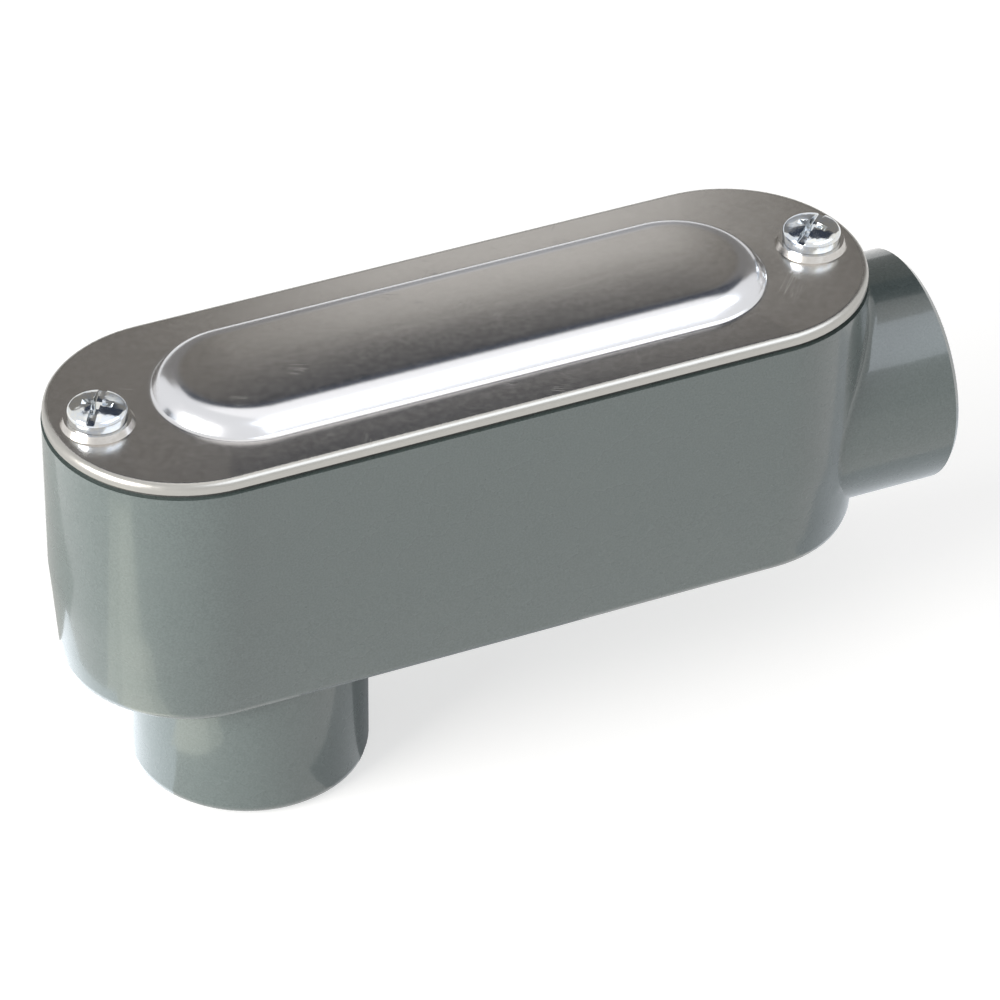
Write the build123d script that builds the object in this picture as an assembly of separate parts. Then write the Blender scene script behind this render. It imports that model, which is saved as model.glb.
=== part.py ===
from build123d import *
import math
import os

# Conduit body of the LB pattern for one inch conduit, in millimetres.
# A cast housing has one hub under its near end and one in its far end. A stamped
# cover on a gasket closes it and is held by two pan head screws.
# The origin is the centre of the bottom hub's mouth. +Z points up to the cover and
# +X points out of the back hub.

# Housing
BODY_WIDTH = 46.0
ARC_SPACING = 96.0
CASTING_HEIGHT = 46.15
WALL = 2.8
FLOOR = 3.0
LOWER_DRAFT_DEG = 4.2
BOTTOM_EDGE_RADIUS = 2.4
CAVITY_EDGE_CUT = 1.6

# Hubs
HUB_DIAMETER = 39.7
BOTTOM_HUB_LENGTH = 24.1
BOTTOM_HUB_SETBACK = 9.6
BOTTOM_HUB_LIP_RADIUS = 2.2
BACK_HUB_REACH = 11.2
BACK_HUB_DROP = 26.85
BACK_HUB_LIP_CHAMFER = 0.9
BACK_HUB_RUN_OUT = 14.0

# Bores: the pipe thread is left plain at its root diameter
BORE_DIAMETER = 33.2
BORE_LENGTH = 18.0
LEAD_IN = 0.4
THROAT_DIAMETER = 27.0
STOP_CHAMFER = 1.0
BACK_STOP_LENGTH = 6.2
BACK_THROAT_FLARE = 2.0
BOTTOM_THROAT_FLARE = 4.5
THROAT_BOSS_DIAMETER = 37.0

# Gasket
GASKET_THICKNESS = 0.85
GASKET_INSET = 0.9
GASKET_CAVITY_MARGIN = 0.2
GASKET_HOLE_CLEARANCE = 0.5

# Cover
COVER_THICKNESS = 1.8
COVER_INSET = 0.2
COVER_EDGE_RADIUS = 1.1
PANEL_ARC_SPACING = 76.2
PANEL_WIDTH = 30.4
PANEL_TOP_WIDTH = 20.2
PANEL_RISE = 3.5
PANEL_FOOT_RADIUS = 0.8
PAD_DIAMETER = 12.0
PAD_RISE = 1.0
PAD_FLANK_DEG = 30.0
COVER_HOLE_CLEARANCE = 0.2

# Screws
SCREW_END_DISTANCE = 8.2
SCREW_DIAMETER = 4.8
SCREW_THREAD_DEPTH = 0.45
SCREW_LENGTH = 12.0
SCREW_TIP_CHAMFER = 0.7
SCREW_TIP_GAP = 1.0
SCREW_BOSS_DIAMETER = 8.8
TAPPED_HOLE_CLEARANCE = 0.05
HEAD_DIAMETER = 9.7
HEAD_HEIGHT = 3.1
HEAD_CROWN_RADIUS = 13.0
HEAD_EDGE_RADIUS = 0.9
SLOT_WIDTH = 1.4
SLOT_DEPTH = 1.3
RECESS_LENGTH = 5.6
RECESS_WIDTH = 1.5
RECESS_DEPTH = 2.2
RECESS_BOTTOM_LENGTH = 2.2
LEFT_SLOT_ANGLE = 56.0
RIGHT_SLOT_ANGLE = 41.0

# How far a cutter runs past the face that it leaves by
OVERCUT = 1.0

# Levels and places that follow from the sizes above
NEAR_ARC_X = -BOTTOM_HUB_SETBACK
FAR_ARC_X = NEAR_ARC_X + ARC_SPACING
MIDDLE_X = (NEAR_ARC_X + FAR_ARC_X) / 2
UNDERSIDE_Z = BOTTOM_HUB_LENGTH
FLOOR_Z = UNDERSIDE_Z + FLOOR
RIM_Z = UNDERSIDE_Z + CASTING_HEIGHT
COVER_Z = RIM_Z + GASKET_THICKNESS
COVER_TOP_Z = COVER_Z + COVER_THICKNESS
PAD_TOP_Z = COVER_TOP_Z + PAD_RISE
BACK_AXIS_Z = RIM_Z - BACK_HUB_DROP
BACK_MOUTH_X = FAR_ARC_X + BODY_WIDTH / 2 + BACK_HUB_REACH
BACK_THROAT_X = BACK_MOUTH_X - BORE_LENGTH - BACK_STOP_LENGTH
BOTTOM_STOP_LENGTH = FLOOR_Z - BORE_LENGTH
LEFT_SCREW_X = NEAR_ARC_X - BODY_WIDTH / 2 + SCREW_END_DISTANCE
RIGHT_SCREW_X = FAR_ARC_X + BODY_WIDTH / 2 - SCREW_END_DISTANCE
CAVITY_HALF_WIDTH = BODY_WIDTH / 2 - WALL
TAPPED_HOLE_RADIUS = SCREW_DIAMETER / 2 + TAPPED_HOLE_CLEARANCE


def stadium(half_width, spacing, level):
    """Plan with two round ends and straight sides, over the middle of the body."""
    return Pos(MIDDLE_X, 0, level) * SlotCenterToCenter(spacing, 2 * half_width)


def block(half_width, spacing, level, height):
    """Upright solid on the stadium plan."""
    return extrude(stadium(half_width, spacing, level), height)


def rounded_layers(profile, spacing):
    """Stack of layers on the stadium plan, up a profile of half widths and levels."""
    layers = []
    for (half_width, low), (next_half_width, high) in zip(profile, profile[1:]):
        lean = math.degrees(math.atan2(next_half_width - half_width, high - low))
        layers.append(extrude(stadium(half_width, spacing, low), high - low, taper=-lean))
    solid = layers[0]
    for layer in layers[1:]:
        solid = solid + layer
    return solid


def drafted_block(half_width, low, high, edge_radius, cuts):
    """Upright solid that draws in below the parting plane, its bottom edge taken off in flat cuts."""
    draft = math.radians(LOWER_DRAFT_DEG)
    wall = half_width - math.tan(draft) * (BACK_AXIS_Z - low - edge_radius)
    centre = (wall - edge_radius / math.cos(draft), low + edge_radius)
    step = (90 - LOWER_DRAFT_DEG) / cuts
    angles = [step * index - 90 for index in range(cuts + 1)]
    profile = points_about(centre, edge_radius, angles) + [(half_width, BACK_AXIS_Z)]
    top = block(half_width, ARC_SPACING, BACK_AXIS_Z, high - BACK_AXIS_Z)
    return rounded_layers(profile, ARC_SPACING) + top


def points_about(centre, radius, angles):
    """Points of a profile at the given angles in degrees about a centre."""
    points = []
    for angle in angles:
        turn = math.radians(angle)
        points.append((centre[0] + radius * math.cos(turn), centre[1] + radius * math.sin(turn)))
    return points


def hub_bore(stop_length, flare):
    """Cutter for one hub, up +Z from its mouth: lead-in, pipe bore, stop, throat and flare."""
    bore = BORE_DIAMETER / 2
    throat = THROAT_DIAMETER / 2
    end = BORE_LENGTH + stop_length
    with BuildPart() as cutter:
        with BuildSketch(Plane.XZ):
            with BuildLine():
                Polyline(
                    (throat + flare, end),
                    (throat + flare, end + OVERCUT),
                    (0, end + OVERCUT),
                    (0, -OVERCUT),
                    (bore + LEAD_IN, -OVERCUT),
                    (bore + LEAD_IN, 0),
                    (bore, LEAD_IN),
                    (bore, BORE_LENGTH),
                    (throat + STOP_CHAMFER, BORE_LENGTH),
                    (throat, BORE_LENGTH + STOP_CHAMFER),
                    (throat, end - flare),
                    (throat + flare, end),
                )
            make_face()
        revolve(axis=Axis.Z)
    return cutter.part


def bottom_hub_stub():
    """Round stub up +Z from its mouth into the floor, its lip rounded off in three cuts."""
    radius = HUB_DIAMETER / 2
    lip = BOTTOM_HUB_LIP_RADIUS
    top_z = UNDERSIDE_Z + FLOOR / 2
    rounding = points_about((radius - lip, lip), lip, (270, 300, 330, 360))
    with BuildPart() as stub:
        with BuildSketch(Plane.XZ):
            with BuildLine():
                Polyline((0, 0), *rounding, (radius, top_z), (0, top_z), close=True)
            make_face()
        revolve(axis=Axis.Z)
    return stub.part


def back_hub_stub():
    """Round stub along +X, from its run-out under the floor to its mouth."""
    radius = HUB_DIAMETER / 2
    mouth_x = BACK_MOUTH_X
    straight_x = FAR_ARC_X + BODY_WIDTH / 2 - BACK_HUB_RUN_OUT / 2
    root_x = straight_x - BACK_HUB_RUN_OUT
    root_radius = BACK_AXIS_Z - UNDERSIDE_Z - 1
    with BuildPart() as stub:
        with BuildSketch(Plane.XZ):
            with BuildLine():
                Polyline(
                    (root_x, root_radius),
                    (root_x, 0),
                    (mouth_x, 0),
                    (mouth_x, radius - BACK_HUB_LIP_CHAMFER),
                    (mouth_x - BACK_HUB_LIP_CHAMFER, radius),
                    (straight_x, radius),
                )
                TangentArc((straight_x, radius), (root_x, root_radius), tangent=(-1, 0))
            make_face()
        revolve(axis=Axis.X)
    return Pos(0, 0, BACK_AXIS_Z) * stub.part


def screw_boss_plan(screw_x, outward, radius, level):
    """Round boss round a screw, with a web out to the end wall."""
    web_length = BODY_WIDTH / 2
    web = Pos(screw_x + outward * web_length / 2, 0, level) * Rectangle(web_length, 2 * radius)
    return Pos(screw_x, 0, level) * Circle(radius) + web


def make_housing():
    """The casting: shell, two hubs, screw bosses and the throat of the back hub."""
    shell = drafted_block(BODY_WIDTH / 2, UNDERSIDE_Z, RIM_Z, BOTTOM_EDGE_RADIUS, 3)
    casting = shell + bottom_hub_stub() + back_hub_stub()

    cavity = drafted_block(CAVITY_HALF_WIDTH, FLOOR_Z, RIM_Z + OVERCUT, CAVITY_EDGE_CUT, 1)
    for screw_x, outward in ((LEFT_SCREW_X, -1), (RIGHT_SCREW_X, 1)):
        plan = screw_boss_plan(screw_x, outward, SCREW_BOSS_DIAMETER / 2, UNDERSIDE_Z)
        cavity = cavity - extrude(plan, CASTING_HEIGHT)
    throat_boss = Pos(BACK_THROAT_X, 0, BACK_AXIS_Z) * Rot(0, 90, 0) * extrude(
        Circle(THROAT_BOSS_DIAMETER / 2), BODY_WIDTH
    )
    cavity = cavity - throat_boss
    casting = casting - cavity

    casting = casting - hub_bore(BOTTOM_STOP_LENGTH, BOTTOM_THROAT_FLARE)
    back_bore = hub_bore(BACK_STOP_LENGTH, BACK_THROAT_FLARE)
    casting = casting - Pos(BACK_MOUTH_X, 0, BACK_AXIS_Z) * Rot(0, -90, 0) * back_bore

    depth = SCREW_LENGTH - PAD_RISE - COVER_THICKNESS - GASKET_THICKNESS + SCREW_TIP_GAP
    for screw_x in (LEFT_SCREW_X, RIGHT_SCREW_X):
        hole = extrude(Circle(TAPPED_HOLE_RADIUS), depth + OVERCUT)
        casting = casting - Pos(screw_x, 0, RIM_Z - depth) * hole
    return casting


def panel_section():
    """Half of the raised panel's section: wide shoulder in four flat cuts and tight foot in two."""
    outer = PANEL_WIDTH / 2
    inner = PANEL_TOP_WIDTH / 2
    run = outer - inner
    radii = (run ** 2 + PANEL_RISE ** 2) / (2 * PANEL_RISE)
    lean = math.degrees(math.asin(run / radii))
    foot = PANEL_FOOT_RADIUS
    bend = radii - foot
    low = (outer, COVER_TOP_Z + foot)
    high = (inner, COVER_TOP_Z + PANEL_RISE - bend)
    top = COVER_TOP_Z + PANEL_RISE
    quarter = lean / 4
    under_high = points_about(high, bend - COVER_THICKNESS, (90 - lean, 90 - lean / 2, 90))
    under_low = points_about(low, foot + COVER_THICKNESS, (270, 270 - lean / 2, 270 - lean))
    shoulder = points_about(high, bend, [90 - quarter * index for index in range(4)])
    low_side = points_about(low, foot, (270 - lean, 270 - lean / 2, 270))
    with BuildSketch(Plane.XZ) as section:
        with BuildLine():
            Polyline(
                *under_low,
                *under_high[1:],
                (0, top - COVER_THICKNESS),
                (0, top),
                *shoulder,
                *low_side,
                close=True,
            )
        make_face()
    return section.sketch


def cover_plate():
    """Flat plate of the cover, its top edge rounded over in three cuts."""
    half_width = BODY_WIDTH / 2 - COVER_INSET
    centre = (half_width - COVER_EDGE_RADIUS, COVER_TOP_Z - COVER_EDGE_RADIUS)
    rounding = points_about(centre, COVER_EDGE_RADIUS, (0, 30, 60, 90))
    return rounded_layers([(half_width, COVER_Z)] + rounding, ARC_SPACING)


def make_cover():
    """Stamped sheet: flat flange, raised panel with round ends and two raised screw pads."""
    window = block(PANEL_WIDTH / 2, PANEL_ARC_SPACING, COVER_Z - OVERCUT, COVER_THICKNESS + 2 * OVERCUT)
    cover = cover_plate() - window
    section = panel_section()
    half_length = PANEL_ARC_SPACING / 2
    round_end = revolve(section, Axis.Z, 180)
    cover = cover + Pos(MIDDLE_X + half_length, 0, 0) * Rot(0, 0, -90) * round_end
    cover = cover + Pos(MIDDLE_X - half_length, 0, 0) * Rot(0, 0, 90) * round_end
    for side in (90, -90):
        strip = Rot(0, 0, side) * section
        cover = cover + Pos(MIDDLE_X, 0, 0) * extrude(strip, half_length, both=True)
    for screw_x in (LEFT_SCREW_X, RIGHT_SCREW_X):
        cover = add_pad(cover, screw_x)
    return cover


def add_pad(cover, screw_x):
    """Raise the sheet round one screw, hollow underneath, and punch the screw's hole."""
    radius = PAD_DIAMETER / 2
    pad = extrude(Circle(radius), PAD_RISE, taper=PAD_FLANK_DEG)
    cover = cover + Pos(screw_x, 0, COVER_TOP_Z) * pad
    hollow = extrude(Circle(radius - COVER_THICKNESS / 2), PAD_RISE, taper=PAD_FLANK_DEG)
    cover = cover - Pos(screw_x, 0, COVER_Z) * hollow
    depth = COVER_THICKNESS + PAD_RISE + 2 * OVERCUT
    hole = extrude(Circle(SCREW_DIAMETER / 2 + COVER_HOLE_CLEARANCE), depth)
    return cover - Pos(screw_x, 0, COVER_Z - OVERCUT) * hole


def make_gasket():
    """Flat ring on the casting's rim, with an ear and a hole at each screw."""
    outline = stadium(BODY_WIDTH / 2 - GASKET_INSET, ARC_SPACING, RIM_Z)
    ring = outline - stadium(CAVITY_HALF_WIDTH + GASKET_CAVITY_MARGIN, ARC_SPACING, RIM_Z)
    radius = SCREW_BOSS_DIAMETER / 2 + GASKET_CAVITY_MARGIN
    for screw_x, outward in ((LEFT_SCREW_X, -1), (RIGHT_SCREW_X, 1)):
        ring = ring + (screw_boss_plan(screw_x, outward, radius, RIM_Z) & outline)
    for screw_x in (LEFT_SCREW_X, RIGHT_SCREW_X):
        ring = ring - Pos(screw_x, 0, RIM_Z) * Circle(SCREW_DIAMETER / 2 + GASKET_HOLE_CLEARANCE)
    return extrude(ring, GASKET_THICKNESS)


def pan_head():
    """Turned head: flat foot, upright side, shoulder in two cuts and a low crown."""
    radius = HEAD_DIAMETER / 2
    shoulder = HEAD_EDGE_RADIUS
    crown_z = HEAD_HEIGHT - HEAD_CROWN_RADIUS
    reach = radius - shoulder
    rise = math.sqrt((HEAD_CROWN_RADIUS - shoulder) ** 2 - reach ** 2)
    lean = math.degrees(math.atan2(rise, reach))
    with BuildPart() as head:
        with BuildSketch(Plane.XZ):
            with BuildLine():
                side = points_about((reach, crown_z + rise), shoulder, (0, lean / 2, lean))
                Polyline((0, 0), (radius, 0), *side, (0, HEAD_HEIGHT), close=True)
            make_face()
        revolve(axis=Axis.Z)
    return head.part


def make_screw(screw_x, slot_angle):
    """Pan head screw with a slot and a cross recess, seated on its pad."""
    head = pan_head()
    shank = extrude(Circle(SCREW_DIAMETER / 2 - SCREW_THREAD_DEPTH), -SCREW_LENGTH)
    shank = chamfer(shank.edges().sort_by(Axis.Z)[0], SCREW_TIP_CHAMFER)
    slot = Pos(0, 0, HEAD_HEIGHT) * Box(2 * HEAD_DIAMETER, SLOT_WIDTH, 2 * SLOT_DEPTH)
    wings = Pos(0, 0, HEAD_HEIGHT) * (
        Box(RECESS_LENGTH, RECESS_WIDTH, 2 * RECESS_DEPTH)
        + Box(RECESS_WIDTH, RECESS_LENGTH, 2 * RECESS_DEPTH)
    )
    funnel = Pos(0, 0, HEAD_HEIGHT - RECESS_DEPTH / 2) * Cone(
        RECESS_BOTTOM_LENGTH / 2, RECESS_LENGTH / 2, RECESS_DEPTH
    )
    screw = head + shank - slot - (wings & funnel)
    return Pos(screw_x, 0, PAD_TOP_Z) * Rot(0, 0, slot_angle) * screw


os.makedirs("parts", exist_ok=True)
parts = {
    "housing": make_housing(),
    "gasket": make_gasket(),
    "cover": make_cover(),
    "left_screw": make_screw(LEFT_SCREW_X, LEFT_SLOT_ANGLE),
    "right_screw": make_screw(RIGHT_SCREW_X, RIGHT_SLOT_ANGLE),
}
for name, part in parts.items():
    export_step(part, os.path.join("parts", name + ".step"))
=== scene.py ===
import math

import bpy
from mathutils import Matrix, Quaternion, Vector


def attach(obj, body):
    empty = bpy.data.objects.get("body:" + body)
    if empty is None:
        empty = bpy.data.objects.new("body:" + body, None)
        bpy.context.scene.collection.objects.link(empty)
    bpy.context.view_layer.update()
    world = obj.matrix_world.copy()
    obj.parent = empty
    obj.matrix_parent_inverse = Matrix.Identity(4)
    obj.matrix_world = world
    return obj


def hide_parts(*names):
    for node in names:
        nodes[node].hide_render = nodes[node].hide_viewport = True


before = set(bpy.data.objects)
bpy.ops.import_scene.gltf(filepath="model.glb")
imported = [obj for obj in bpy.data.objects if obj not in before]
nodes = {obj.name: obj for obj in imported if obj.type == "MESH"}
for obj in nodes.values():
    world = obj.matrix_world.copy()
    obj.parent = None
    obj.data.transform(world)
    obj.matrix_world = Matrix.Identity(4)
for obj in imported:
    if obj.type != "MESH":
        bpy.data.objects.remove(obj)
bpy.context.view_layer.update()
MM = 0.001
NEAR_BY = 0.01 * MM

# Casting
BORE_RADIUS = 16.6 * MM
BACK_MOUTH_X = 120.6 * MM
BACK_AXIS_Z = 43.4 * MM
NEAR_ARC_X = -9.6 * MM
FAR_ARC_X = 86.4 * MM
HUB_RADIUS = 19.85 * MM
END_RADIUS = 23 * MM
LOWER_DRAFT_DEG = 4.2

# Round at the root of the back hub, which thins out toward its two ends
FILLET_RADIUS = 2.2 * MM
FILLET_THIN_END = 0.12
FILLET_REACH_DEG = 112
FILLET_FADE = 0.3
FILLET_STEPS = 96
FILLET_CUTS = 10
FILLET_SINK = 0.006 * MM
FILLET_DEPTH = 0.3 * MM
FILLET_MERGE_WITHIN = 0.0005 * MM

# Cover
PAD_TOP_Z = 73.9 * MM
PANEL_NEAR_X = 0.3 * MM
PANEL_FAR_X = 76.5 * MM
PANEL_TOP_Z = 76.4 * MM
PANEL_TOP_HALF_WIDTH = 10.1 * MM
PANEL_CROWN = 0.3 * MM
PANEL_RINGS = [8.9 * MM, 7.5 * MM, 5.9 * MM, 4.2 * MM, 2.4 * MM, 0.8 * MM]
MERGE_WITHIN = 0.002 * MM
DRAWN_INNER = (9.4 * MM, 10.8 * MM)
DRAWN_OUTER = (14.4 * MM, 15.6 * MM)
DULL_EDGE = (21.4 * MM, 22.3 * MM)

# Screws, each with its place along X and the angle in degrees that its slot came to rest at
SCREWS = {"left_screw": (-24.4 * MM, 56), "right_screw": (101.2 * MM, 41)}
HEAD_RADIUS = 4.85 * MM
HEAD_HEIGHT = 2.95 * MM
CROWN_RADIUS = 13 * MM
HEAD_SIDES = 96
HEAD_RINGS = [3.7 * MM, 2.9 * MM, 2.0 * MM, 1.1 * MM, 0.4 * MM]
HEAD_SHOULDER = 0.66 * MM
HEAD_FOOT_BEVEL = 0.14 * MM
WORN_EDGE = 0.09 * MM
SLOT_WIDTH = 1.4 * MM
SLOT_DEPTH = 1.3 * MM
SLOT_CUTTER = (14 * MM, SLOT_WIDTH, 4 * MM)
SLOT_CORNER = 0.18 * MM
RECESS_LENGTH = 5.6 * MM
RECESS_WIDTH = 1.5 * MM
RECESS_DEPTH = 2.2 * MM
RECESS_BOTTOM_LENGTH = 2.2 * MM
RECESS_BOTTOM_WIDTH = 0.62 * RECESS_WIDTH
RECESS_CORNER = 0.12 * MM
RECESS_OVERRUN = 0.4 * MM
RECESS_FLARE = 1.08
SHANK_ROOT = 1.95 * MM
SHANK_CREST = 2.36 * MM
SHANK_LENGTH = 12 * MM
SHANK_TIP = 0.6 * MM
SHANK_PLAIN_END = 1.0 * MM
SHANK_SINK = 0.03 * MM
SHANK_SIDES = 64
THREAD_PITCH = 1.06 * MM
THREAD_HALF_ROOT = 0.44 * THREAD_PITCH
THREAD_HALF_CREST = 0.07 * THREAD_PITCH
THREAD_TURNS = 9
THREAD_STEPS = 48

# Pipe threads
PIPE_PITCH = 25.4 / 11.5 * MM
PIPE_CREST = 14.85 * MM
PIPE_SINK = 0.05 * MM
PIPE_HALF_ROOT = 0.46 * PIPE_PITCH
PIPE_HALF_CREST = 0.06 * PIPE_PITCH
PIPE_START = 1.1 * MM
PIPE_TURNS = 7
PIPE_STEPS = 96

# Share of a turn over which a ridge rises at its ends
RUN_IN = 0.75


# Modelling helpers

def deselect_objects():
    bpy.ops.object.select_all(action="DESELECT")


def begin(name):
    """The new primitive gets its name and goes into edit mode."""
    piece = bpy.context.active_object
    piece.name = name
    piece.data.name = name
    bpy.ops.object.mode_set(mode="EDIT")
    return piece


def end():
    """Back to object mode."""
    bpy.ops.object.mode_set(mode="OBJECT")


def only(piece):
    """Selects just this object and makes it the active one."""
    deselect_objects()
    piece.select_set(True)
    bpy.context.view_layer.objects.active = piece


def choose(piece, kind, wanted):
    """In edit mode, selects just the faces, edges or vertices that the test wants."""
    bpy.ops.mesh.select_mode(type=kind)
    bpy.ops.mesh.select_all(action="DESELECT")
    end()
    items = {"VERT": piece.data.vertices, "EDGE": piece.data.edges, "FACE": piece.data.polygons}[kind]
    for item in items:
        item.select = bool(wanted(item))
    bpy.ops.object.mode_set(mode="EDIT")


def ends_of(piece, edge):
    """The places of an edge's two ends."""
    a, b = edge.vertices
    return piece.data.vertices[a].co, piece.data.vertices[b].co


def apply_modifier(piece, modifier):
    only(piece)
    bpy.ops.object.modifier_apply(modifier=modifier.name)


def cut_away(piece, cutter):
    """Takes the cutter's shape out of a piece and throws the cutter away."""
    cut = piece.modifiers.new("cut", "BOOLEAN")
    cut.operation = "DIFFERENCE"
    cut.solver = "EXACT"
    cut.object = cutter
    apply_modifier(piece, cut)
    bpy.data.objects.remove(cutter)


def place(piece, location=(0, 0, 0), turn=(0, 0, 0)):
    """Sets a piece down where it belongs and leaves its object at the origin."""
    only(piece)
    piece.rotation_euler = turn
    piece.location = location
    bpy.ops.object.transform_apply(location=True, rotation=True, scale=True)


def finish_piece(piece, body, material, angle):
    """Shades a piece smooth up to an angle, gives it its finish and says what it rides on."""
    only(piece)
    bpy.ops.object.shade_smooth_by_angle(angle=math.radians(angle))
    piece.data.materials.clear()
    piece.data.materials.append(material)
    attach(piece, body)


def helix_ridge(name, root, crest, half_root, half_crest, pitch, turns, steps):
    """A thread's ridge round +Z from level 0 up: a swept section whose ends sink into the root."""
    deselect_objects()
    bpy.ops.mesh.primitive_plane_add(size=2)
    piece = begin(name)
    bpy.ops.mesh.delete(type="ONLY_FACE")
    end()
    corners = [(root, -half_root), (crest, -half_crest), (crest, half_crest), (root, half_root)]
    loop = [0, 1, 3, 2]
    for index, (radius, level) in zip(loop, corners):
        piece.data.vertices[index].co = (radius, 0, level)
    sweep = piece.modifiers.new("sweep", "SCREW")
    sweep.axis = "Z"
    sweep.angle = math.tau
    sweep.screw_offset = pitch
    sweep.iterations = turns
    sweep.steps = steps
    sweep.render_steps = steps
    sweep.use_smooth_shade = False
    apply_modifier(piece, sweep)
    bpy.ops.object.mode_set(mode="EDIT")
    bpy.ops.mesh.select_all(action="SELECT")
    bpy.ops.mesh.fill_holes(sides=8)
    bpy.ops.mesh.normals_make_consistent(inside=False)
    end()
    run_in = pitch * RUN_IN
    top = pitch * turns
    for vertex in piece.data.vertices:
        x, y, z = vertex.co
        radius = math.hypot(x, y)
        turned = math.atan2(y, x) % math.tau
        course = pitch * turned / math.tau
        along = course + pitch * round((z - course) / pitch)
        share = min(1.0, max(0.0, min(along, top - along)) / run_in)
        sunk = root + (radius - root) * share
        vertex.co = (x * sunk / radius, y * sunk / radius, z)
    return piece


# Node helpers

def new_group(name, inputs, outputs):
    """A shader node group with named sockets: (name, kind, default) in, (name, kind) out."""
    group = bpy.data.node_groups.new(name, "ShaderNodeTree")
    for label, kind, default in inputs:
        socket = group.interface.new_socket(name=label, in_out="INPUT", socket_type=kind)
        if default is not None:
            socket.default_value = default
    for label, kind in outputs:
        group.interface.new_socket(name=label, in_out="OUTPUT", socket_type=kind)
    start = group.nodes.new("NodeGroupInput")
    finish = group.nodes.new("NodeGroupOutput")
    return group, start, finish


class Wiring:
    """Short ways to add and join nodes in one tree."""

    def __init__(self, tree):
        self.tree = tree

    def node(self, kind, **settings):
        made = self.tree.nodes.new(kind)
        for key, value in settings.items():
            setattr(made, key, value)
        return made

    def join(self, out, into):
        self.tree.links.new(out, into)

    def feed(self, socket, value):
        if isinstance(value, bpy.types.NodeSocket):
            self.join(value, socket)
        elif value is not None:
            socket.default_value = value

    def math(self, operation, a, b=None, c=None):
        made = self.node("ShaderNodeMath", operation=operation)
        for socket, value in zip(made.inputs, (a, b, c)):
            self.feed(socket, value)
        return made.outputs[0]

    def noise(self, coordinates, scale, detail=2.0, roughness=0.5, distortion=0.0):
        made = self.node("ShaderNodeTexNoise")
        self.join(coordinates, made.inputs["Vector"])
        self.feed(made.inputs["Scale"], scale)
        made.inputs["Detail"].default_value = detail
        made.inputs["Roughness"].default_value = roughness
        made.inputs["Distortion"].default_value = distortion
        return made.outputs[0]

    def ramp(self, value, low, high, to_low=0.0, to_high=1.0, smooth=True):
        made = self.node("ShaderNodeMapRange", clamp=True)
        made.interpolation_type = "SMOOTHSTEP" if smooth else "LINEAR"
        self.feed(made.inputs["Value"], value)
        self.feed(made.inputs["From Min"], low)
        self.feed(made.inputs["From Max"], high)
        self.feed(made.inputs["To Min"], to_low)
        self.feed(made.inputs["To Max"], to_high)
        return made.outputs[0]

    def blend(self, factor, a, b):
        made = self.node("ShaderNodeMix", data_type="RGBA")
        self.feed(made.inputs["Factor"], factor)
        self.feed(made.inputs["A"], a)
        self.feed(made.inputs["B"], b)
        return made.outputs["Result"]

    def use(self, group, **values):
        made = self.node("ShaderNodeGroup")
        made.node_tree = group
        for label, value in values.items():
            self.feed(made.inputs[label.replace("_", " ")], value)
        return made

    def places(self, location=(0, 0, 0), turn=(0, 0, 0)):
        """Object coordinates, moved and turned by a Mapping node."""
        coordinates = self.node("ShaderNodeTexCoord")
        mapping = self.node("ShaderNodeMapping")
        mapping.inputs["Location"].default_value = location
        mapping.inputs["Rotation"].default_value = turn
        self.join(coordinates.outputs["Object"], mapping.inputs["Vector"])
        return mapping.outputs["Vector"]

    def background_rays(self):
        """1 for the rays that see the background: from the camera, off a gloss or through glass."""
        rays = self.node("ShaderNodeLightPath")
        seen = self.math("MAXIMUM", rays.outputs["Is Camera Ray"], rays.outputs["Is Glossy Ray"])
        return self.math("MAXIMUM", seen, rays.outputs["Is Transmission Ray"])


def new_material(name, kind):
    """A material with one shader of that kind, and the wiring to add to it."""
    material = bpy.data.materials.new(name)
    material.use_nodes = True
    material.node_tree.nodes.clear()
    wire = Wiring(material.node_tree)
    shader = wire.node(kind)
    output = wire.node("ShaderNodeOutputMaterial")
    wire.join(shader.outputs[0], output.inputs["Surface"])
    return material, wire, shader


def bump(wire, height, distance, normal=None):
    """Adds relief of that height in metres to the normal so far."""
    made = wire.node("ShaderNodeBump")
    made.inputs["Strength"].default_value = 1.0
    made.inputs["Distance"].default_value = distance
    wire.join(height, made.inputs["Height"])
    if normal is not None:
        wire.join(normal, made.inputs["Normal"])
    return made.outputs["Normal"]


# Effects that several finishes share

def make_mottle():
    """Cloudy change of tone over three sizes."""
    group, start, finish = new_group(
        "mottle",
        [("Vector", "NodeSocketVector", None), ("Size", "NodeSocketFloat", 0.01)],
        [("Tone", "NodeSocketFloat")],
    )
    wire = Wiring(group)
    rate = wire.math("DIVIDE", 1.0, start.outputs["Size"])
    broad = wire.noise(start.outputs["Vector"], rate, 3.0, 0.6)
    fine = wire.noise(start.outputs["Vector"], wire.math("MULTIPLY", rate, 7.3), 3.0, 0.65, 0.3)
    total = wire.math("MULTIPLY_ADD", fine, 0.4, wire.math("MULTIPLY", broad, 0.6))
    wire.join(wire.ramp(total, 0.34, 0.66), finish.inputs["Tone"])
    return group


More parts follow.
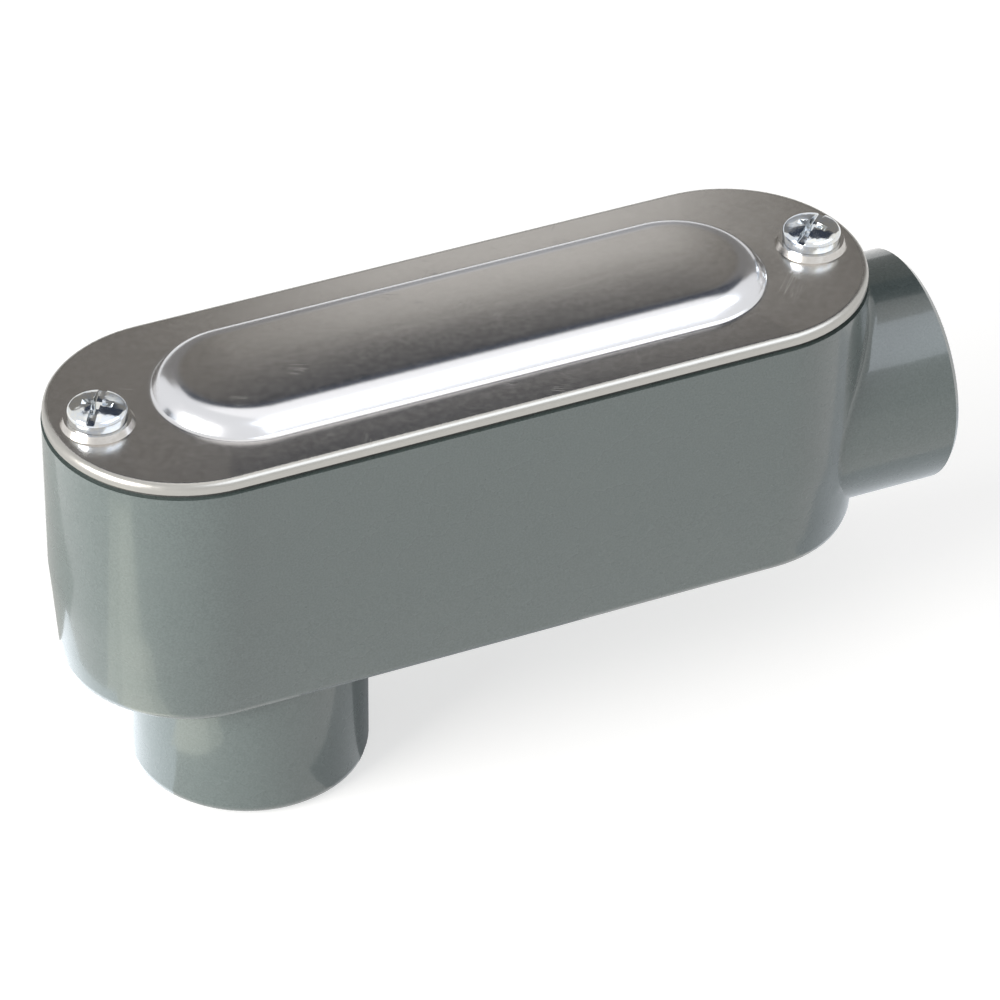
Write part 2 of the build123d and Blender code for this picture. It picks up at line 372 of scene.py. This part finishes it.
def make_specks():
    """Scattered round specks, few or many by the share of cells that hold one."""
    group, start, finish = new_group(
        "specks",
        [
            ("Vector", "NodeSocketVector", None),
            ("Spacing", "NodeSocketFloat", 0.004),
            ("Share", "NodeSocketFloat", 0.1),
            ("Radius", "NodeSocketFloat", 0.08),
        ],
        [("Mask", "NodeSocketFloat")],
    )
    wire = Wiring(group)
    cells = wire.node("ShaderNodeTexVoronoi", feature="F1")
    wire.join(start.outputs["Vector"], cells.inputs["Vector"])
    wire.join(wire.math("DIVIDE", 1.0, start.outputs["Spacing"]), cells.inputs["Scale"])
    draw = wire.node("ShaderNodeSeparateColor")
    wire.join(cells.outputs["Color"], draw.inputs["Color"])
    held = wire.math("LESS_THAN", draw.outputs["Red"], start.outputs["Share"])
    radius = wire.math("MULTIPLY", start.outputs["Radius"], wire.math("ADD", draw.outputs["Green"], 0.4))
    inside = wire.ramp(wire.math("DIVIDE", cells.outputs["Distance"], radius), 0.6, 1.0, 1.0, 0.0)
    wire.join(wire.math("MULTIPLY", inside, held), finish.inputs["Mask"])
    return group


def make_scratches():
    """Short thin scratches along the local X axis, broken up by a second noise."""
    group, start, finish = new_group(
        "scratches",
        [
            ("Vector", "NodeSocketVector", None),
            ("Spacing", "NodeSocketFloat", 0.003),
            ("Amount", "NodeSocketFloat", 0.5),
        ],
        [("Mask", "NodeSocketFloat")],
    )
    wire = Wiring(group)
    stretched = wire.node("ShaderNodeMapping")
    stretched.inputs["Scale"].default_value = (0.06, 1.0, 1.0)
    wire.join(start.outputs["Vector"], stretched.inputs["Vector"])
    rate = wire.math("DIVIDE", 1.0, start.outputs["Spacing"])
    lines = wire.noise(stretched.outputs["Vector"], wire.math("MULTIPLY", rate, 3.0), 1.0, 0.4, 0.6)
    crest = wire.math("ABSOLUTE", wire.math("SUBTRACT", lines, 0.5))
    thin = wire.ramp(crest, 0.0, 0.012, 1.0, 0.0)
    where = wire.noise(start.outputs["Vector"], wire.math("MULTIPLY", rate, 0.5), 2.0)
    least = wire.math("SUBTRACT", 0.75, wire.math("MULTIPLY", start.outputs["Amount"], 0.4))
    gate = wire.ramp(where, least, 0.78)
    wire.join(wire.math("MULTIPLY", thin, gate), finish.inputs["Mask"])
    return group


def make_plan_distance():
    """How far a point lies, seen from above, from the line between the centres of two round ends."""
    group, start, finish = new_group(
        "plan distance",
        [
            ("Vector", "NodeSocketVector", None),
            ("Near X", "NodeSocketFloat", NEAR_ARC_X),
            ("Far X", "NodeSocketFloat", FAR_ARC_X),
        ],
        [("Distance", "NodeSocketFloat")],
    )
    wire = Wiring(group)
    parts = wire.node("ShaderNodeSeparateXYZ")
    wire.join(start.outputs["Vector"], parts.inputs[0])
    held = wire.math(
        "MINIMUM", wire.math("MAXIMUM", parts.outputs["X"], start.outputs["Near X"]), start.outputs["Far X"]
    )
    along = wire.math("SUBTRACT", parts.outputs["X"], held)
    beside = parts.outputs["Y"]
    squares = wire.math("ADD", wire.math("MULTIPLY", along, along), wire.math("MULTIPLY", beside, beside))
    wire.join(wire.math("SQRT", squares), finish.inputs["Distance"])
    return group


MOTTLE = make_mottle()
SPECKS = make_specks()
SCRATCHES = make_scratches()
PLAN_DISTANCE = make_plan_distance()


# Finishes

def make_enamel():
    """Grey-green baked enamel over a smooth casting."""
    material, wire, surface = new_material("enamel", "ShaderNodeBsdfPrincipled")
    vector = wire.places()
    tone = wire.use(MOTTLE, Vector=vector, Size=30 * MM).outputs[0]
    colour = wire.blend(tone, (0.088, 0.119, 0.115, 1), (0.099, 0.131, 0.127, 1))
    grain = wire.ramp(wire.noise(vector, 3000.0, 1.0, 0.5), 0.3, 0.7)
    colour = wire.blend(grain, colour, (0.124, 0.159, 0.155, 1))
    pale = wire.use(SPECKS, Vector=vector, Spacing=11 * MM, Share=0.12, Radius=0.045).outputs[0]
    elsewhere = wire.places(location=(0.4, 0.1, 0.2))
    dark = wire.use(SPECKS, Vector=elsewhere, Spacing=12 * MM, Share=0.12, Radius=0.04).outputs[0]
    colour = wire.blend(wire.math("MULTIPLY", pale, 0.5), colour, (0.36, 0.37, 0.34, 1))
    colour = wire.blend(wire.math("MULTIPLY", dark, 0.75), colour, (0.03, 0.035, 0.035, 1))
    wire.join(colour, surface.inputs["Base Color"])
    rough = wire.ramp(wire.noise(vector, 160.0, 3.0), 0.3, 0.7, 0.24, 0.32)
    wire.join(rough, surface.inputs["Roughness"])
    surface.inputs["Coat Weight"].default_value = 0.85
    surface.inputs["Coat Roughness"].default_value = 0.1
    surface.inputs["Coat IOR"].default_value = 1.6
    peel = wire.noise(vector, 620.0, 2.0, 0.5)
    waves = wire.noise(vector, 85.0, 1.0, 0.4)
    normal = bump(wire, waves, 0.07 * MM)
    normal = bump(wire, peel, 0.004 * MM, normal=normal)
    normal = bump(wire, wire.math("ADD", pale, dark), 0.04 * MM, normal=normal)
    wire.join(normal, surface.inputs["Normal"])
    wire.join(normal, surface.inputs["Coat Normal"])
    return material


def make_stamped_sheet():
    """Bare stamped aluminium sheet: a fine mill grain, brighter where drawn and dull round its edge."""
    material, wire, surface = new_material("stamped_sheet", "ShaderNodeBsdfPrincipled")
    vector = wire.places()
    distance = wire.use(PLAN_DISTANCE, Vector=vector, Near_X=PANEL_NEAR_X, Far_X=PANEL_FAR_X).outputs[0]
    drawn = wire.math(
        "MULTIPLY", wire.ramp(distance, *DRAWN_INNER), wire.ramp(distance, *DRAWN_OUTER, 1.0, 0.0)
    )
    edge = wire.ramp(wire.use(PLAN_DISTANCE, Vector=vector).outputs[0], *DULL_EDGE)
    grain = wire.use(MOTTLE, Vector=vector, Size=1.1 * MM).outputs[0]
    cloud = wire.use(MOTTLE, Vector=wire.places(location=(0.3, 0.2, 0.1)), Size=14 * MM).outputs[0]
    colour = wire.blend(grain, (0.535, 0.515, 0.49, 1), (0.60, 0.58, 0.555, 1))
    colour = wire.blend(wire.math("MULTIPLY", cloud, 0.3), colour, (0.66, 0.64, 0.61, 1))
    colour = wire.blend(drawn, colour, (0.70, 0.705, 0.73, 1))
    colour = wire.blend(wire.math("MULTIPLY", edge, 0.8), colour, (0.41, 0.405, 0.38, 1))
    one_way = wire.places(turn=(0, 0, math.radians(28)))
    other_way = wire.places(location=(0.7, 0.3, 0), turn=(0, 0, math.radians(-52)))
    lines = wire.math(
        "MAXIMUM",
        wire.use(SCRATCHES, Vector=one_way, Spacing=3 * MM, Amount=0.35).outputs[0],
        wire.use(SCRATCHES, Vector=other_way, Spacing=4 * MM, Amount=0.3).outputs[0],
    )
    pits = wire.use(SPECKS, Vector=vector, Spacing=3.2 * MM, Share=0.10, Radius=0.05).outputs[0]
    colour = wire.blend(wire.math("MULTIPLY", lines, 0.25), colour, (0.85, 0.85, 0.85, 1))
    colour = wire.blend(wire.math("MULTIPLY", pits, 0.6), colour, (0.12, 0.11, 0.10, 1))
    wire.join(colour, surface.inputs["Base Color"])
    surface.inputs["Metallic"].default_value = 1.0
    rough = wire.ramp(grain, 0.0, 1.0, 0.205, 0.24, smooth=False)
    rough = wire.math("SUBTRACT", rough, wire.math("MULTIPLY", drawn, 0.02))
    rough = wire.math("ADD", rough, wire.math("MULTIPLY", edge, 0.08))
    wire.join(rough, surface.inputs["Roughness"])
    fine = wire.noise(vector, 1900.0, 2.0, 0.6)
    waves = wire.noise(vector, 75.0, 1.0, 0.4)
    normal = bump(wire, waves, 0.04 * MM)
    normal = bump(wire, fine, 0.0035 * MM, normal=normal)
    normal = bump(wire, wire.math("ADD", lines, pits), -0.01 * MM, normal=normal)
    wire.join(normal, surface.inputs["Normal"])
    return material


def make_bright_zinc():
    """Bright zinc plate with a faint change from blue to yellow."""
    material, wire, surface = new_material("bright_zinc", "ShaderNodeBsdfPrincipled")
    vector = wire.places()
    tint = wire.use(MOTTLE, Vector=vector, Size=6 * MM).outputs[0]
    colour = wire.blend(tint, (0.62, 0.69, 0.80, 1), (0.76, 0.76, 0.72, 1))
    pits = wire.use(SPECKS, Vector=vector, Spacing=1.2 * MM, Share=0.2, Radius=0.1).outputs[0]
    colour = wire.blend(wire.math("MULTIPLY", pits, 0.5), colour, (0.25, 0.25, 0.27, 1))
    wire.join(colour, surface.inputs["Base Color"])
    surface.inputs["Metallic"].default_value = 1.0
    rough = wire.ramp(wire.noise(vector, 900.0, 3.0), 0.3, 0.7, 0.08, 0.17)
    wire.join(rough, surface.inputs["Roughness"])
    normal = bump(wire, wire.noise(vector, 420.0, 2.0, 0.5), 0.08 * MM)
    normal = bump(wire, wire.noise(vector, 3000.0, 2.0, 0.6), 0.004 * MM, normal=normal)
    wire.join(normal, surface.inputs["Normal"])
    return material


def make_sheet_rubber():
    """Black sheet rubber with a dusty, cut edge, its greys lighter than the rubber is: painted light that
    lifts the shade in the gap under the cover.
    """
    material, wire, surface = new_material("sheet_rubber", "ShaderNodeBsdfPrincipled")
    vector = wire.places()
    dust_and_painted_light = wire.use(MOTTLE, Vector=vector, Size=4 * MM).outputs[0]
    # Both greys sit well above black rubber: painted light for the shaded gap under the cover, with a dusty
    # mottle between them.
    colour = wire.blend(dust_and_painted_light, (0.06, 0.063, 0.061, 1), (0.105, 0.108, 0.104, 1))
    wire.join(colour, surface.inputs["Base Color"])
    wire.join(wire.ramp(dust_and_painted_light, 0.0, 1.0, 0.7, 0.9), surface.inputs["Roughness"])
    wire.join(bump(wire, wire.noise(vector, 1500.0, 3.0, 0.6), 0.04 * MM), surface.inputs["Normal"])
    return material


def make_cut_thread():
    """Bare aluminium as the tap left it."""
    material, wire, surface = new_material("cut_thread", "ShaderNodeBsdfPrincipled")
    vector = wire.places()
    tone = wire.use(MOTTLE, Vector=vector, Size=3 * MM).outputs[0]
    wire.join(wire.blend(tone, (0.46, 0.46, 0.45, 1), (0.62, 0.62, 0.61, 1)), surface.inputs["Base Color"])
    surface.inputs["Metallic"].default_value = 1.0
    wire.join(wire.ramp(tone, 0.0, 1.0, 0.24, 0.38), surface.inputs["Roughness"])
    wire.join(bump(wire, wire.noise(vector, 2200.0, 2.0, 0.6), 0.01 * MM), surface.inputs["Normal"])
    return material


ENAMEL = make_enamel()
STAMPED_SHEET = make_stamped_sheet()
BRIGHT_ZINC = make_bright_zinc()
SHEET_RUBBER = make_sheet_rubber()
CUT_THREAD = make_cut_thread()

for node_name, material in (
    ("housing", ENAMEL),
    ("cover", STAMPED_SHEET),
    ("gasket", SHEET_RUBBER),
    ("left_screw", BRIGHT_ZINC),
    ("right_screw", BRIGHT_ZINC),
):
    node = nodes[node_name]
    if node.data.materials:
        node.data.materials[0] = material
    else:
        node.data.materials.append(material)


# The casting and the cover, with their curves smooth

def crown_panel(piece):
    """Raises the middle of the cover's flat panel a little, in rings, as drawn sheet springs back."""
    choose(piece, "FACE", lambda face: face.normal.z > 0.999 and abs(face.center.z - PANEL_TOP_Z) < NEAR_BY)
    bpy.ops.mesh.dissolve_faces()
    ring = PANEL_TOP_HALF_WIDTH
    for next_ring in PANEL_RINGS:
        bpy.ops.mesh.inset(thickness=ring - next_ring)
        rise = PANEL_CROWN * (ring ** 2 - next_ring ** 2) / PANEL_TOP_HALF_WIDTH ** 2
        bpy.ops.transform.translate(value=(0, 0, rise))
        ring = next_ring


def softened(node_name, body, material, angle):
    """A merged copy of a CAD piece: smooth round its curves, with the normals of its flat faces kept."""
    piece = bpy.data.objects.new(node_name + "_surface", nodes[node_name].data.copy())
    bpy.context.scene.collection.objects.link(piece)
    only(piece)
    bpy.ops.object.mode_set(mode="EDIT")
    bpy.ops.mesh.select_all(action="SELECT")
    bpy.ops.mesh.remove_doubles(threshold=MERGE_WITHIN)
    if node_name == "cover":
        crown_panel(piece)
    end()
    bpy.ops.mesh.customdata_custom_splitnormals_clear()
    finish_piece(piece, body, material, angle)
    weighted = piece.modifiers.new("flat faces first", "WEIGHTED_NORMAL")
    weighted.mode = "FACE_AREA_WITH_ANGLE"
    weighted.keep_sharp = True
    apply_modifier(piece, weighted)
    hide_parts(node_name)


softened("housing", "housing", ENAMEL, angle=34)
softened("cover", "cover", STAMPED_SHEET, angle=36)


def make_root_fillet():
    """The round between the back hub and the end wall: the path of a ball rolled along the root."""
    rows = FILLET_CUTS + 2
    deselect_objects()
    bpy.ops.mesh.primitive_grid_add(x_subdivisions=FILLET_STEPS, y_subdivisions=rows, size=2)
    piece = begin("back_hub_root")
    end()
    lean = math.tan(math.radians(LOWER_DRAFT_DEG))
    for vertex in piece.data.vertices:
        turned = math.radians(FILLET_REACH_DEG) * vertex.co.x
        row = round((vertex.co.y + 1) / 2 * rows) % rows
        fade = min(1.0, (1.0 - abs(vertex.co.x)) / FILLET_FADE)
        ball = FILLET_RADIUS * (FILLET_THIN_END + (1 - FILLET_THIN_END) * fade * fade * (3 - 2 * fade))
        beside = (HUB_RADIUS + ball) * math.sin(turned)
        level = BACK_AXIS_Z + (HUB_RADIUS + ball) * math.cos(turned)
        wall = END_RADIUS - max(0.0, BACK_AXIS_Z - level) * lean
        centre = Vector((FAR_ARC_X + math.sqrt((wall + ball) ** 2 - beside ** 2), beside, level))
        to_wall = Vector((FAR_ARC_X - centre.x, -beside, 0)).normalized()
        to_hub = Vector((0, -math.sin(turned), -math.cos(turned)))
        if row <= FILLET_CUTS:
            vertex.co = centre + to_wall.slerp(to_hub, row / FILLET_CUTS) * (ball + FILLET_SINK)
        else:
            corner = to_wall + to_hub
            deeper = corner.normalized() * FILLET_DEPTH
            vertex.co = centre + corner * ball / (1 + to_wall.dot(to_hub)) + deeper
    bpy.ops.object.mode_set(mode="EDIT")
    bpy.ops.mesh.select_all(action="SELECT")
    bpy.ops.mesh.remove_doubles(threshold=FILLET_MERGE_WITHIN)
    bpy.ops.mesh.select_all(action="DESELECT")
    bpy.ops.mesh.select_mode(type="EDGE")
    bpy.ops.mesh.select_non_manifold()
    bpy.ops.mesh.fill_holes(sides=0)
    bpy.ops.mesh.select_all(action="SELECT")
    bpy.ops.mesh.normals_make_consistent(inside=False)
    end()
    finish_piece(piece, "housing", ENAMEL, angle=40)


make_root_fillet()


# Screws

def crown_level(radius):
    """Height of the head's crown at that radius."""
    return HEAD_HEIGHT - CROWN_RADIUS + math.sqrt(CROWN_RADIUS ** 2 - radius ** 2)


def make_head():
    """A pan head, its crown built up in rings, with a slot across it and a cross recess in the middle."""
    rim = crown_level(HEAD_RADIUS)
    deselect_objects()
    bpy.ops.mesh.primitive_cylinder_add(
        vertices=HEAD_SIDES, radius=HEAD_RADIUS, depth=rim, end_fill_type="NGON", location=(0, 0, rim / 2)
    )
    head = begin("screw")
    end()
    place(head, head.location.copy())
    bpy.ops.object.mode_set(mode="EDIT")
    choose(head, "FACE", lambda face: face.normal.z > 0.9)
    ring = HEAD_RADIUS
    for next_ring in HEAD_RINGS:
        bpy.ops.mesh.inset(thickness=(ring - next_ring) * math.cos(math.pi / HEAD_SIDES))
        bpy.ops.transform.translate(value=(0, 0, crown_level(next_ring) - crown_level(ring)))
        ring = next_ring
    choose(head, "EDGE", lambda edge: all(
        abs(math.hypot(point.x, point.y) - HEAD_RADIUS) < NEAR_BY and abs(point.z - rim) < NEAR_BY
        for point in ends_of(head, edge)
    ))
    bpy.ops.mesh.bevel(offset=HEAD_SHOULDER, segments=7, profile=0.5, affect="EDGES")
    choose(head, "EDGE", lambda edge: all(abs(point.z) < NEAR_BY for point in ends_of(head, edge)))
    bpy.ops.mesh.bevel(offset=HEAD_FOOT_BEVEL, segments=2, profile=0.5, affect="EDGES")
    end()
    cut_away(head, slot_cutter())
    for turn in (0, 90):
        cut_away(head, wing_cutter(turn))
    worn = head.modifiers.new("worn edges", "BEVEL")
    worn.width = WORN_EDGE
    worn.segments = 2
    worn.limit_method = "ANGLE"
    worn.angle_limit = math.radians(42)
    apply_modifier(head, worn)
    return head


def slot_cutter():
    """A milled slot right across the head, with a round in the corners of its bottom."""
    low = HEAD_HEIGHT - SLOT_DEPTH
    deselect_objects()
    bpy.ops.mesh.primitive_cube_add(size=1, location=(0, 0, low + SLOT_CUTTER[2] / 2))
    cutter = begin("slot")
    end()
    cutter.scale = SLOT_CUTTER
    place(cutter, cutter.location.copy())
    bpy.ops.object.mode_set(mode="EDIT")
    choose(cutter, "EDGE", lambda edge: all(
        abs(point.z - low) < NEAR_BY for point in ends_of(cutter, edge)
    ))
    bpy.ops.mesh.bevel(offset=SLOT_CORNER, segments=3, affect="EDGES")
    end()
    return cutter


def wing_cutter(turn):
    """Two opposite wings of the cross recess: a block that tapers from the crown down to a blunt bottom."""
    low = HEAD_HEIGHT - RECESS_DEPTH
    top = HEAD_HEIGHT + RECESS_OVERRUN
    deselect_objects()
    bpy.ops.mesh.primitive_cube_add(size=1)
    cutter = begin("wing")
    end()
    for vertex in cutter.data.vertices:
        if vertex.co.z < 0:
            length, width, level = RECESS_BOTTOM_LENGTH, RECESS_BOTTOM_WIDTH, low
        else:
            length, width, level = RECESS_LENGTH * RECESS_FLARE, RECESS_WIDTH, top
        vertex.co = (math.copysign(length / 2, vertex.co.x), math.copysign(width / 2, vertex.co.y), level)
    bpy.ops.object.mode_set(mode="EDIT")
    choose(cutter, "EDGE", lambda edge: all(point.z < low + NEAR_BY for point in ends_of(cutter, edge)))
    bpy.ops.mesh.bevel(offset=RECESS_CORNER, segments=2, affect="EDGES")
    end()
    place(cutter, turn=(0, 0, math.radians(turn)))
    return cutter


def make_shank():
    """The shank at the thread's root, with a chamfered tip and the thread's ridge wound round it."""
    deselect_objects()
    bpy.ops.mesh.primitive_cylinder_add(
        vertices=SHANK_SIDES, radius=SHANK_ROOT, depth=SHANK_LENGTH, end_fill_type="NGON",
        location=(0, 0, -SHANK_LENGTH / 2),
    )
    shank = begin("shank")
    end()
    place(shank, shank.location.copy())
    bpy.ops.object.mode_set(mode="EDIT")
    choose(shank, "EDGE", lambda edge: all(
        abs(point.z + SHANK_LENGTH) < NEAR_BY for point in ends_of(shank, edge)
    ))
    bpy.ops.mesh.bevel(offset=SHANK_TIP, segments=1, affect="EDGES")
    end()
    ridge = helix_ridge(
        "ridge", SHANK_ROOT - SHANK_SINK, SHANK_CREST, THREAD_HALF_ROOT, THREAD_HALF_CREST,
        THREAD_PITCH, THREAD_TURNS, THREAD_STEPS,
    )
    place(ridge, (0, 0, -SHANK_LENGTH + SHANK_PLAIN_END))
    return [shank, ridge]


def join_pieces(first, others):
    """Joins the others into the first."""
    deselect_objects()
    for piece in [first, *others]:
        piece.select_set(True)
    bpy.context.view_layer.objects.active = first
    bpy.ops.object.join()
    return first


pattern_screw = join_pieces(make_head(), make_shank())
for node_name, (screw_x, slot_angle) in SCREWS.items():
    screw = bpy.data.objects.new(node_name + "_turned", pattern_screw.data.copy())
    bpy.context.scene.collection.objects.link(screw)
    place(screw, (screw_x, 0, PAD_TOP_Z), (0, 0, math.radians(slot_angle)))
    finish_piece(screw, node_name, BRIGHT_ZINC, angle=32)
    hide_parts(node_name)
bpy.data.objects.remove(pattern_screw)


# Threads in the hubs, bare aluminium as the cover is

for thread_name, place_at, turn in (
    ("bottom_hub_thread", (0, 0, PIPE_START), (0, 0, 0)),
    ("back_hub_thread", (BACK_MOUTH_X - PIPE_START, 0, BACK_AXIS_Z), (0, math.radians(-90), 0)),
):
    thread = helix_ridge(
        thread_name, BORE_RADIUS + PIPE_SINK, PIPE_CREST, PIPE_HALF_ROOT, PIPE_HALF_CREST,
        PIPE_PITCH, PIPE_TURNS, PIPE_STEPS,
    )
    place(thread, place_at, turn)
    finish_piece(thread, "housing", CUT_THREAD, angle=25)


# Camera

CAMERA_LENS = 199.28
CAMERA_PLACE = Vector((-0.25809, -0.66541, 0.58936))
CAMERA_AIM = Vector((0.04538, 0, 0.03656))
CAMERA_ROLL = math.radians(0.664)
camera_data = bpy.data.cameras.new("camera")
camera_data.lens = CAMERA_LENS
camera_data.sensor_width = 36
camera_data.clip_start = 0.01
camera_data.clip_end = 20
camera = bpy.data.objects.new("camera", camera_data)
bpy.context.scene.collection.objects.link(camera)
camera.rotation_mode = "QUATERNION"
camera.location = CAMERA_PLACE
look = (CAMERA_AIM - CAMERA_PLACE).to_track_quat("-Z", "Y")
camera.rotation_quaternion = look @ Quaternion((0, 0, 1), CAMERA_ROLL)
bpy.context.scene.camera = camera


# Floor, cards and lamps

CENTRE = Vector((0.044, 0, 0.04))
FLOOR_SIZE = 12
FLOOR_TONE = 0.6
FLOOR_GLOW = 0.62
SKY_LIGHT = 0.45


def direction(azimuth, elevation):
    """Unit vector to that azimuth from +X and that elevation above the floor."""
    a, e = math.radians(azimuth), math.radians(elevation)
    return Vector((math.cos(a) * math.cos(e), math.sin(a) * math.cos(e), math.sin(e)))


def new_plane(name, size=1):
    """A flat square at the origin."""
    deselect_objects()
    bpy.ops.mesh.primitive_plane_add(size=size)
    made = bpy.context.active_object
    made.name = name
    return made


def face_object(made, way, distance):
    """Sets a card or a lamp down that way from the object, turned to face it."""
    made.location = CENTRE + way * distance
    made.rotation_mode = "QUATERNION"
    made.rotation_quaternion = way.to_track_quat("Z", "Y")


def hide_but_in_reflections(made):
    """Only reflections see this card, and it is no part of the object."""
    made.visible_camera = False
    made.visible_diffuse = False
    made.visible_shadow = False
    made.visible_volume_scatter = False


def only_reflected(made, colour):
    """Gives a card an even glow."""
    material, _, glow = new_material(made.name, "ShaderNodeEmission")
    glow.inputs["Color"].default_value = (*colour, 1)
    made.data.materials.append(material)
    hide_but_in_reflections(made)


def card(name, azimuth, elevation, distance, width, height, colour, strength):
    """A studio card that faces the object and that only reflections see."""
    made = new_plane(name)
    made.scale = (width, height, 1)
    face_object(made, direction(azimuth, elevation), distance)
    only_reflected(made, [strength * part for part in colour])


def lamp(name, azimuth, elevation, distance, width, height, colour, power):
    """A broad soft lamp that faces the object."""
    data = bpy.data.lights.new(name, "AREA")
    data.shape = "RECTANGLE"
    data.size = width
    data.size_y = height
    data.color = colour
    data.energy = power
    made = bpy.data.objects.new(name, data)
    bpy.context.scene.collection.objects.link(made)
    face_object(made, direction(azimuth, elevation), distance)
    made.visible_camera = False


def floor_card(name, middle, length, width, turn, colour, level):
    """A card flat on the floor, seen only in reflections, with its place and size in millimetres."""
    made = new_plane(name)
    made.scale = (length * MM, width * MM, 1)
    made.rotation_euler = (0, 0, math.radians(turn))
    made.location = (middle[0] * MM, middle[1] * MM, level * MM)
    only_reflected(made, colour)


def graded_card(name, azimuth, distance, width, low, high, steps, side_colour):
    """An upright card behind the object: its glow follows the steps, a colour for each height."""
    made = new_plane(name)
    made.scale = (width, high - low, 1)
    face_object(made, direction(azimuth, 0), distance)
    made.location.z = (low + high) / 2
    material, wire, glow = new_material(name, "ShaderNodeEmission")
    places = wire.node("ShaderNodeTexCoord")
    parts = wire.node("ShaderNodeSeparateXYZ")
    wire.join(places.outputs["Object"], parts.inputs[0])
    level = wire.math("ADD", parts.outputs["Y"], 0.5)
    tones = wire.node("ShaderNodeValToRGB")
    wire.join(level, tones.inputs["Fac"])
    ramp = tones.color_ramp
    while len(ramp.elements) < len(steps):
        ramp.elements.new(0.5)
    for element, (height, colour) in zip(ramp.elements, steps):
        element.position = (height - low) / (high - low)
        element.color = (*colour, 1)
    aside = wire.math("MULTIPLY", wire.math("ABSOLUTE", parts.outputs["X"]), width)
    toward_ends = wire.ramp(aside, 0.025, 0.085)
    wire.join(wire.blend(toward_ends, tones.outputs["Color"], side_colour), glow.inputs["Color"])
    made.data.materials.append(material)
    hide_but_in_reflections(made)


def make_floor():
    """A pale matt floor that keeps the shadow and looks white."""
    floor = new_plane("floor", FLOOR_SIZE)
    material, wire, both = new_material("floor", "ShaderNodeAddShader")
    matt = wire.node("ShaderNodeBsdfDiffuse")
    matt.inputs["Color"].default_value = (FLOOR_TONE, FLOOR_TONE, FLOOR_TONE, 1)
    glow = wire.node("ShaderNodeEmission")
    wire.join(wire.math("MULTIPLY", wire.background_rays(), FLOOR_GLOW), glow.inputs["Strength"])
    wire.join(matt.outputs[0], both.inputs[0])
    wire.join(glow.outputs[0], both.inputs[1])
    floor.data.materials.append(material)


# Azimuth and elevation in degrees, distance, width and height in metres, colour, power or strength
lamp("window", -170, 20, 2.2, 1.4, 1.2, (1.0, 0.975, 0.935), 62)
card("front card", -52, 50, 0.8, 0.85, 0.5, (0.90, 0.94, 1.0), 2.7)
card("overhead card", 20, 80, 0.8, 0.8, 0.5, (1.0, 0.99, 0.98), 1.3)
card("blue card", 60, 51, 0.5, 0.5, 0.25, (0.6, 0.72, 1.0), 0.075)

# Middle, length and width in millimetres, turn in degrees, colour, level in millimetres
floor_card("broad streak card", (-72, -25), 90, 34, 15, (1.75, 1.75, 1.6), 0.4)
floor_card("narrow streak card", (-70, -28), 88, 17, 18, (2.15, 2.15, 1.95), 0.8)
floor_card("left shade card", (-50, 72), 56, 80, 0, (0.6, 0.6, 0.58), 0.4)
floor_card("hub card", (-31, 14), 44, 46, 0, (1.7, 1.8, 1.9), 0.8)
floor_card("right card", (152, -8), 84, 60, 0, (0.75, 0.79, 0.83), 0.4)
floor_card("half shade card", (34, 7), 52, 68, 0, (0.60, 0.62, 0.64), 0.2)
floor_card("shade card", (34, 14), 52, 54, 0, (0.19, 0.20, 0.21), 0.4)

# Azimuth in degrees, distance, width and lowest and highest level in metres, steps, colour of the sides
graded_card("backdrop card", 66, 0.34, 0.7, 0.10, 0.42, [
    (0.10, (0.3, 0.3, 0.3)),
    (0.20, (0.5, 0.5, 0.5)),
    (0.265, (1.0, 0.99, 0.97)),
    (0.298, (0.68, 0.67, 0.66)),
    (0.318, (0.50, 0.49, 0.48)),
    (0.327, (0.30, 0.295, 0.29)),
    (0.335, (0.08, 0.08, 0.085)),
    (0.42, (0.05, 0.06, 0.08)),
], (0.25, 0.24, 0.228, 1))

make_floor()

world = bpy.data.worlds.new("studio")
world.use_nodes = True
bpy.context.scene.world = world
world.node_tree.nodes.clear()
wire = Wiring(world.node_tree)
sky = wire.node("ShaderNodeBackground")
sky.inputs["Color"].default_value = (1, 1, 1, 1)
sky_strength = wire.ramp(wire.background_rays(), 0.0, 1.0, SKY_LIGHT, 1.0, smooth=False)
wire.join(sky_strength, sky.inputs["Strength"])
output = wire.node("ShaderNodeOutputWorld")
wire.join(sky.outputs[0], output.inputs["Surface"])

bpy.context.scene.view_settings.view_transform = "Standard"
